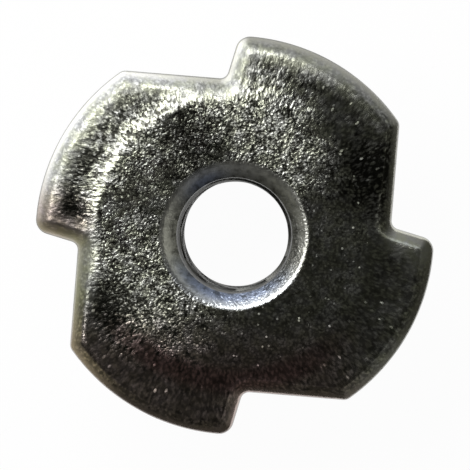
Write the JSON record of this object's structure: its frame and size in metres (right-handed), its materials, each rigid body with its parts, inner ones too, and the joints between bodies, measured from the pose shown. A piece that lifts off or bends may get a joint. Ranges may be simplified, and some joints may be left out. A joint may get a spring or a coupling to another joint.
{
  "type": "tee nut",
  "caption": "Pronged tee nut of zinc-plated sheet steel: a pinwheel flange with folded prongs around a threaded barrel, pressed into wood to hold a screw.",
  "frame": {"origin": "on the thread's axis, in the seat plane under the flange's wings", "axes": "+Z along the thread out of the flange, +Y square to one of the folds"},
  "size_m": [0.019, 0.019, 0.009],
  "materials": {
    "zinc_steel": "zinc-plated, finely grained satin"
  },
  "bodies": {
    "root": {"tee_nut": "zinc_steel"}
  },
  "joints": []
}
